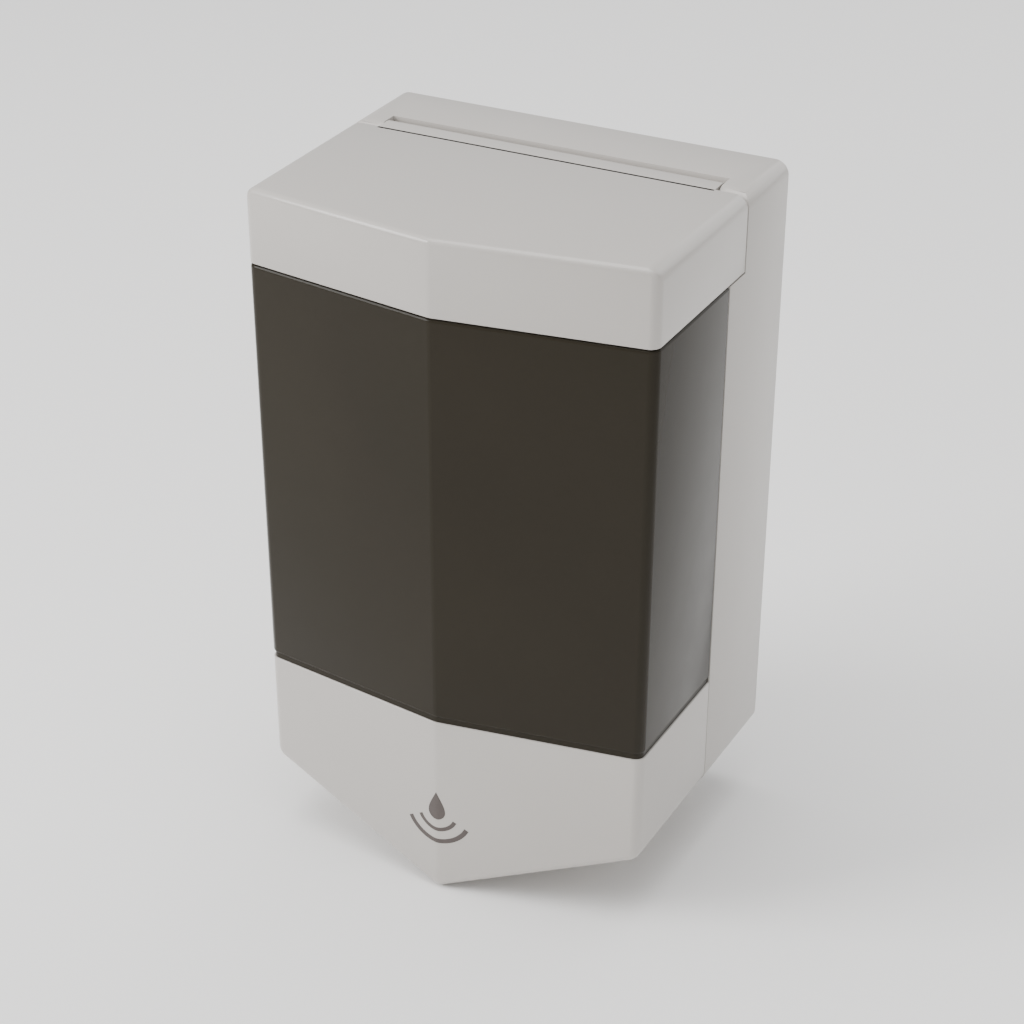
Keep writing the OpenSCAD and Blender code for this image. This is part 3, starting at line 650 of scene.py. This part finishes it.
def edge_setback(edge, inset):
    """How far the rounding of one edge of the case reaches to each side."""
    size = case_settings()
    ends = [v.co for v in edge.verts]
    along_depth = abs(ends[0].x - ends[1].x) < NEAR and abs(ends[0].z - ends[1].z) < NEAR
    on_front = all(c.y < EDGE_Y + NEAR for c in ends)
    at_middle = all(abs(c.x) < NEAR for c in ends)
    at_side = all(abs(c.x) > HALF_TOP / 2 for c in ends)
    at_top = all(c.z > TOP_Z - NEAR for c in ends)
    at_foot = all(c.z < TIP_Z + size.shoulder_height + NEAR for c in ends)
    radius = 0
    if along_depth and not (at_top and at_middle):
        radius = size.tip_round if at_middle else size.top_round if at_top else size.shoulder_round
    elif on_front:
        radius = (size.crown_round if at_top else size.foot_round if at_foot
                  else size.side_round if at_side else size.ridge_round)
    if not radius:
        return 0
    smallest = 0.5 * MM
    return max(radius - inset, smallest) * math.tan(edge.calc_face_angle() / 2)


def shell_block(name, low_z, high_z, rim, inset=0.0, back_y=SEAM_Y):
    """A closed slice of the case ahead of a depth and between two heights, with softened rims."""
    obj = case_body(name, inset)
    cut(obj, (0, 0, low_z), (0, 0, 1), keep="ahead", fill=True)
    cut(obj, (0, 0, high_z), (0, 0, -1), keep="ahead", fill=True)
    cut(obj, (0, back_y, 0), (0, -1, 0), keep="ahead", fill=True)
    if rim:
        modify(obj, "BEVEL", limit_method="ANGLE", angle_limit=math.radians(60), width=rim,
               segments=3, use_clamp_overlap=False)
    return obj


def hollow(obj):
    """Cuts the inside of the case out of a shell block."""
    combine(obj, case_body("inside", case_settings().wall), "DIFFERENCE")


def stadium(name, half, front_y, back_y, z0, z1):
    """An upright round-ended block."""
    middle = (front_y + back_y) / 2
    obj = cylinder(name, (0, middle, (z0 + z1) / 2), half, z1 - z0, sides=64)
    edit(obj)
    for side, end in ((-1, front_y), (1, back_y)):
        pick(obj, lambda v: (v.co.y - middle) * side > NEAR)
        bpy.ops.transform.translate(value=(0, end - middle, 0))
    leave()
    return obj


def tank_block(name, node, inset, low_z, high_z):
    """A closed block with a tank-shaped outline, taken from a CAD node and moved in."""
    lowest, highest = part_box(node)
    coarse = 5 * NEAR
    side_y = min(v.co.y for v in NODES[node].data.vertices
                 if v.co.x > highest.x - coarse) - TANK_CORNER
    obj = cube(name, (lowest.x, side_y, low_z - inset), (highest.x, highest.y, high_z + inset))
    cut(obj, (0, 0, 0), (1, 0, 0))
    edit(obj)
    pick(obj, lambda v: abs(v.co.x) < NEAR and v.co.y < side_y + NEAR)
    bpy.ops.transform.translate(value=(0, lowest.y - side_y, 0))
    leave()

    def setback(edge):
        ends = [v.co for v in edge.verts]
        upright = abs(ends[0].z - ends[1].z) > NEAR and abs(ends[0].x) > NEAR
        return TANK_CORNER - inset if upright else 0

    round_edges(obj, setback, inset, segments=6)
    return obj


# ---- operators ----

class DISPENSER_OT_lid(bpy.types.Operator):
    """Builds the lid: top shell, rolled hinge edge and the ring that presses on the seal"""
    bl_idname = "dispenser.lid"
    bl_label = "Lid"

    def execute(self, context):
        size = case_settings()
        roll = TOP_Z - HINGE.z
        skirt_back = HINGE.y - roll - HINGE_GAP
        shell = shell_block("lid_shell", SKIRT_Z, TOP_Z + PAST, size.seam_round,
                            back_y=skirt_back)
        hollow(shell)
        half_roll = next(abs(v.co.x) for v in NODES["top_lid"].data.vertices
                         if v.co.y > HINGE.y + roll / 2)
        barrel = cylinder("lid_roll", (0, HINGE.y, HINGE.z), roll, 2 * half_roll, "X")
        strip = cube("lid_strip", (-half_roll, skirt_back - size.wall / 2, TOP_Z - size.wall),
                     (half_roll, HINGE.y, TOP_Z))
        combine(barrel, strip, "UNION")
        combine(barrel, cylinder("pin_bore", (0, HINGE.y, HINGE.z), PIN_BORE_R,
                                 3 * half_roll, "X"), "DIFFERENCE")
        soften(barrel, 0.25 * MM)
        ring_z = high("lid_seal").z
        ring = tank_block("lid_ring", "lid_seal", 0, ring_z, TOP_Z - size.wall / 2)
        combine(ring, tank_block("ring_space", "lid_seal", SEAL_WIDTH, ring_z - PAST, TOP_Z),
                "DIFFERENCE")
        notch_half = 9 * MM
        for side in (-1, 1):
            notch = cube("notch", (-notch_half, skirt_back, ring_z - PAST),
                         (notch_half, 0, TOP_Z + PAST))
            shift(notch, (side * (half_roll + notch_half), 0, 0))
            combine(ring, notch, "DIFFERENCE")
        soften(ring, 0.3 * MM)
        smooth(shell)
        join(shell, barrel, ring)
        place(shell, "lid", "white_case", finish("white_case"), "top_lid")
        return {"FINISHED"}


class DISPENSER_OT_window(bpy.types.Operator):
    """Builds the smoked window band"""
    bl_idname = "dispenser.window"
    bl_label = "Window"

    def execute(self, context):
        size = case_settings()
        window = shell_block("window_band", SILL_Z, WINDOW_TOP_Z, size.window_round)
        hollow(window)
        # The dark lip lines the groove's back wall. It is partly the window's own rim and partly painted shade,
        # standing in for the shadow in the groove.
        lip = shell_block("window_lip", SILL_Z - size.groove_height, SILL_Z + size.wall, 0,
                          size.groove_depth - size.lip)
        combine(lip, case_body("lip_space", size.groove_depth), "DIFFERENCE")
        combine(window, lip, "UNION")
        smooth(window)
        place(window, "dispenser", "smoked_window", finish("smoked_window"), "window_panel")
        return {"FINISHED"}


class DISPENSER_OT_chin(bpy.types.Operator):
    """Builds the white lower front with its groove and the pocket under the tip"""
    bl_idname = "dispenser.chin"
    bl_label = "Chin"

    def execute(self, context):
        size = case_settings()
        groove_z = SILL_Z - size.groove_height
        chin = shell_block("chin_shell", TIP_Z - PAST, groove_z, size.seam_round)
        combine(chin, shell_block("chin_neck", groove_z - 2 * MM, SILL_Z, 0, size.groove_depth),
                "UNION")
        hollow(chin)
        pocket_z = low("sensor_lens").z
        floor_z = pocket_z + size.wall
        lens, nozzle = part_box("sensor_lens"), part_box("nozzle")
        lens_y = (lens[0].y + lens[1].y) / 2
        nozzle_y = (nozzle[0].y + nozzle[1].y) / 2
        front_y, back_y = nozzle_y + POCKET_FRONT, lens_y - POCKET_BACK
        below = TIP_Z - 5 * PAST
        tub = stadium("pocket_tub", POCKET_HALF + size.wall, front_y, back_y, below, floor_z)
        combine(tub, case_body("tub_limit"), "INTERSECT")
        combine(chin, tub, "UNION")
        combine(chin, stadium("pocket_space", POCKET_HALF, front_y, back_y,
                              below - 4 * PAST, pocket_z), "DIFFERENCE")
        combine(chin, cylinder("nozzle_hole", (0, nozzle_y, floor_z), NOZZLE_HOLE_R, 12 * PAST),
                "DIFFERENCE")
        half_x, half_y = LENS_HOLE
        combine(chin, cube("lens_hole", (-half_x, lens_y - half_y, pocket_z - 3 * PAST),
                           (half_x, lens_y + half_y, floor_z + 5 * PAST)), "DIFFERENCE")
        mouth_half = POCKET_HALF + 10 * NEAR
        edit(chin)
        pick(chin, lambda e: e.is_manifold and e.calc_face_angle() > math.radians(50)
             and all(v.co.z < pocket_z - PAST and abs(v.co.x) < mouth_half
                     for v in e.verts), "edges")
        bpy.ops.mesh.bevel(offset=MOUTH_ROUND, segments=3, affect="EDGES", clamp_overlap=False)
        leave()
        smooth(chin)
        place(chin, "dispenser", "white_case", finish("white_case"), "chin_cover")
        return {"FINISHED"}


class DISPENSER_OT_sign(bpy.types.Operator):
    """Prints a drop over two sensing arcs on the chin"""
    bl_idname = "dispenser.sign"
    bl_label = "Printed sign"

    def execute(self, context):
        size = case_settings()
        centre_z = TIP_Z + size.sign_height
        reach = 15 * MM              # the mark is a deep block until it is cut to the chin's skin
        drop_r = size.sign_size * 0.12
        peak = drop_r * 1.5          # height of the drop's point above its round part
        drop = cylinder("sign_drop", (0, FRONT_Y, centre_z), drop_r, 2 * reach, "Y", 40)
        edit(drop)
        pick(drop, lambda v: v.co.z > centre_z + drop_r * 0.999)
        bpy.ops.transform.translate(value=(0, 0, peak), use_proportional_edit=True,
                                    proportional_edit_falloff="SHARP", proportional_size=peak)
        leave()
        sweep, lean = math.radians(118), math.radians(31)
        for radius, stroke in ((0.27, 0.055), (0.45, 0.065)):     # parts of the sign's width
            arc_r, half = size.sign_size * radius, size.sign_size * stroke / 2
            arc = cube("sign_arc", (arc_r - half, FRONT_Y - reach, centre_z - half),
                       (arc_r + half, FRONT_Y + reach, centre_z + half))
            edit(arc)
            pick(arc, lambda f: f.normal.z < -0.9, "faces")
            bpy.ops.mesh.spin(steps=24, angle=-sweep, center=(0, 0, centre_z), axis=(0, 1, 0))
            leave()
            outward(arc)
            turn_about(arc, (0, 0, centre_z), "Y", -lean)
            join(drop, arc)
        skin = case_body("sign_skin", -PRINT_PROUD)
        combine(skin, case_body("sign_core", PRINT_DEPTH), "DIFFERENCE")
        combine(drop, skin, "INTERSECT")
        cut(drop, (0, EDGE_Y / 2, 0), (0, -1, 0), keep="ahead")
        smooth(drop)
        drop.name = "printed_sign"
        place(drop, "dispenser", "print_grey", finish("print_grey"))
        return {"FINISHED"}


class DISPENSER_OT_back(bpy.types.Operator):
    """Builds the rear housing, wall bracket and battery door with softened edges"""
    bl_idname = "dispenser.back"
    bl_label = "Housing and bracket"

    def execute(self, context):
        for node, name, width in (("rear_housing", "housing_shell", 0.3),
                                  ("battery_door", "battery_cover", 0.25),
                                  ("wall_bracket", "bracket_plate", 0.35)):
            place_refined(node, name, width)
        return {"FINISHED"}


class DISPENSER_OT_fittings(bpy.types.Operator):
    """Builds the nozzle, sensor window, tank, seal and screws with softened edges"""
    bl_idname = "dispenser.fittings"
    bl_label = "Fittings"

    def execute(self, context):
        for node, width in (("nozzle", 0.35), ("sensor_lens", 0.25), ("soap_tank", 0.4),
                            ("lid_seal", 0.4), ("housing_screws", 0.15), ("battery_box", 0.2),
                            ("switch_slider", 0.2)):
            place_refined(node, node + "_shape", width)
        return {"FINISHED"}


class DISPENSER_OT_cells(bpy.types.Operator):
    """Builds the four battery cells, turned alternately"""
    bl_idname = "dispenser.cells"
    bl_label = "Battery cells"

    def execute(self, context):
        lowest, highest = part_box("battery_cells")
        count, length, nub, nub_r = 4, 50.5 * MM, 1 * MM, 2.75 * MM
        rim, dip = 1.1 * MM, 0.5 * MM              # ring round the nub end
        foot_rim, foot_slope, foot_dip = 0.9 * MM, 0.4 * MM, 0.25 * MM
        radius = (highest.y - lowest.y) / 2
        pitch = (highest.x - lowest.x - 2 * radius) / (count - 1)
        middle_y = (highest.y + lowest.y) / 2
        cell = cylinder("cell", (0, 0, length / 2 - nub / 2), radius, length - nub, sides=48)
        edit(cell)
        pick(cell, lambda f: f.normal.z > 0.9, "faces")
        bpy.ops.mesh.inset(thickness=rim, depth=0)
        bpy.ops.mesh.inset(thickness=dip, depth=-dip)
        bpy.ops.mesh.inset(thickness=radius - nub_r - rim - 2 * dip, depth=0)
        bpy.ops.mesh.inset(thickness=dip, depth=nub + dip)
        pick(cell, lambda f: f.normal.z < -0.9, "faces")
        bpy.ops.mesh.inset(thickness=foot_rim, depth=0)
        bpy.ops.mesh.inset(thickness=foot_slope, depth=-foot_dip)
        leave()
        soften(cell, 0.2 * MM, 40, segments=2)
        cells = []
        for i in range(count):
            twin = copied(cell, f"cell_{i}")
            nub_up = i % 2 == 0
            only(twin)
            twin.rotation_euler = (0 if nub_up else math.pi, 0, 0)
            twin.location = (lowest.x + radius + i * pitch, middle_y,
                             highest.z - length if nub_up else lowest.z + length)
            bpy.ops.object.transform_apply(location=True, rotation=True, scale=False)
            cells.append(twin)
        bpy.data.objects.remove(cell)
        join(*cells).name = "cells_shape"
        place(cells[0], body_of("battery_cells"), "cell_jacket", finish("cell_jacket"),
              "battery_cells")
        return {"FINISHED"}


class DISPENSER_OT_finishes(bpy.types.Operator):
    """Gives every CAD node that stays visible its finish"""
    bl_idname = "dispenser.finishes"
    bl_label = "Inner finishes"

    def execute(self, context):
        for part in frame["record"]["subparts"]:
            mesh = NODES[part["node"]].data
            mesh.materials.clear()
            mesh.materials.append(finish(part["material_slot"]))
        return {"FINISHED"}


class DISPENSER_OT_stage(bpy.types.Operator):
    """Adds the floor, the soft lights and the camera"""
    bl_idname = "dispenser.stage"
    bl_label = "Stage"

    def execute(self, context):
        stage = context.scene.dispenser_stage
        bpy.ops.object.select_all(action="DESELECT")
        bpy.ops.mesh.primitive_plane_add(size=40, location=(0, 0, TIP_Z))
        floor = settled("floor")
        floor.data.materials.append(floor_material())
        lowest, highest = (Vector(c) for c in CAD_BOX)
        middle = (lowest + highest) / 2
        away = Vector((math.sin(stage.azimuth) * math.cos(stage.elevation),
                       -math.cos(stage.azimuth) * math.cos(stage.elevation),
                       math.sin(stage.elevation)))
        camera = bpy.data.objects.new("camera", bpy.data.cameras.new("camera"))
        context.scene.collection.objects.link(camera)
        camera.location = middle + away * stage.distance
        camera.rotation_euler = (-away).to_track_quat("-Z", "Y").to_euler()
        camera.data.lens = stage.lens
        camera.data.clip_start = 0.01
        context.scene.camera = camera
        for name, (offset, size, power) in LIGHTS.items():
            self.light(name, middle, Vector(offset), size, power)
        world = bpy.data.worlds.new("studio")
        world.use_nodes = True
        sky = world.node_tree.nodes["Background"].inputs
        sky["Color"].default_value = (0.93, 0.94, 0.96, 1)
        sky["Strength"].default_value = 0.6
        context.scene.world = world
        return {"FINISHED"}

    def light(self, name, middle, offset, size, power):
        """A square soft light that faces the object's middle."""
        lamp = bpy.data.objects.new(name, bpy.data.lights.new(name, "AREA"))
        bpy.context.scene.collection.objects.link(lamp)
        lamp.data.size = size
        lamp.data.energy = power
        lamp.visible_camera = False
        lamp.location = middle + offset
        lamp.rotation_euler = (-offset).to_track_quat("-Z", "Y").to_euler()


def floor_material():
    """Pale matte floor that can be seen through from below."""
    made = Shader("studio_floor")
    colour = tuple(finish_settings().floor)
    made.tint(made.noise(3, 2), shade(colour, 0.99), shade(colour, 1.01))
    made.rough(made.noise(60, 2), 0.55, 0.65)
    clear = made.node("ShaderNodeBsdfTransparent")
    side = made.node("ShaderNodeNewGeometry")
    choice = made.node("ShaderNodeMixShader")
    made.tree.links.new(side.outputs["Backfacing"], choice.inputs[0])
    made.tree.links.new(made.main.outputs["BSDF"], choice.inputs[1])
    made.tree.links.new(clear.outputs["BSDF"], choice.inputs[2])
    out = made.tree.nodes["Material Output"]
    made.tree.links.new(choice.outputs["Shader"], out.inputs["Surface"])
    return made.material


class DISPENSER_PT_panel(bpy.types.Panel):
    """Lists the builders in the sidebar"""
    bl_label = "Soap dispenser"
    bl_idname = "DISPENSER_PT_panel"
    bl_space_type = "VIEW_3D"
    bl_region_type = "UI"
    bl_category = "Dispenser"

    def draw(self, context):
        for operator in OPERATORS:
            self.layout.operator(operator.bl_idname)
        for group in (context.scene.dispenser_case, context.scene.dispenser_finish,
                      context.scene.dispenser_stage):
            box = self.layout.box()
            for name in group.__annotations__:
                box.prop(group, name)


SETTINGS = {
    "dispenser_case": CaseSettings,
    "dispenser_finish": FinishSettings,
    "dispenser_stage": StageSettings,
}
OPERATORS = [
    DISPENSER_OT_stage,
    DISPENSER_OT_lid,
    DISPENSER_OT_window,
    DISPENSER_OT_chin,
    DISPENSER_OT_sign,
    DISPENSER_OT_back,
    DISPENSER_OT_fittings,
    DISPENSER_OT_cells,
    DISPENSER_OT_finishes,
]


def register():
    for made in (*SETTINGS.values(), *OPERATORS, DISPENSER_PT_panel):
        bpy.utils.register_class(made)
    for name, group in SETTINGS.items():
        setattr(bpy.types.Scene, name, bpy.props.PointerProperty(type=group))


def unregister():
    for name in SETTINGS:
        delattr(bpy.types.Scene, name)
    for made in reversed((*SETTINGS.values(), *OPERATORS, DISPENSER_PT_panel)):
        bpy.utils.unregister_class(made)


def main():
    register()
    for operator in OPERATORS:
        group, name = operator.bl_idname.split(".")
        getattr(getattr(bpy.ops, group), name)()


if __name__ == "__main__":
    main()
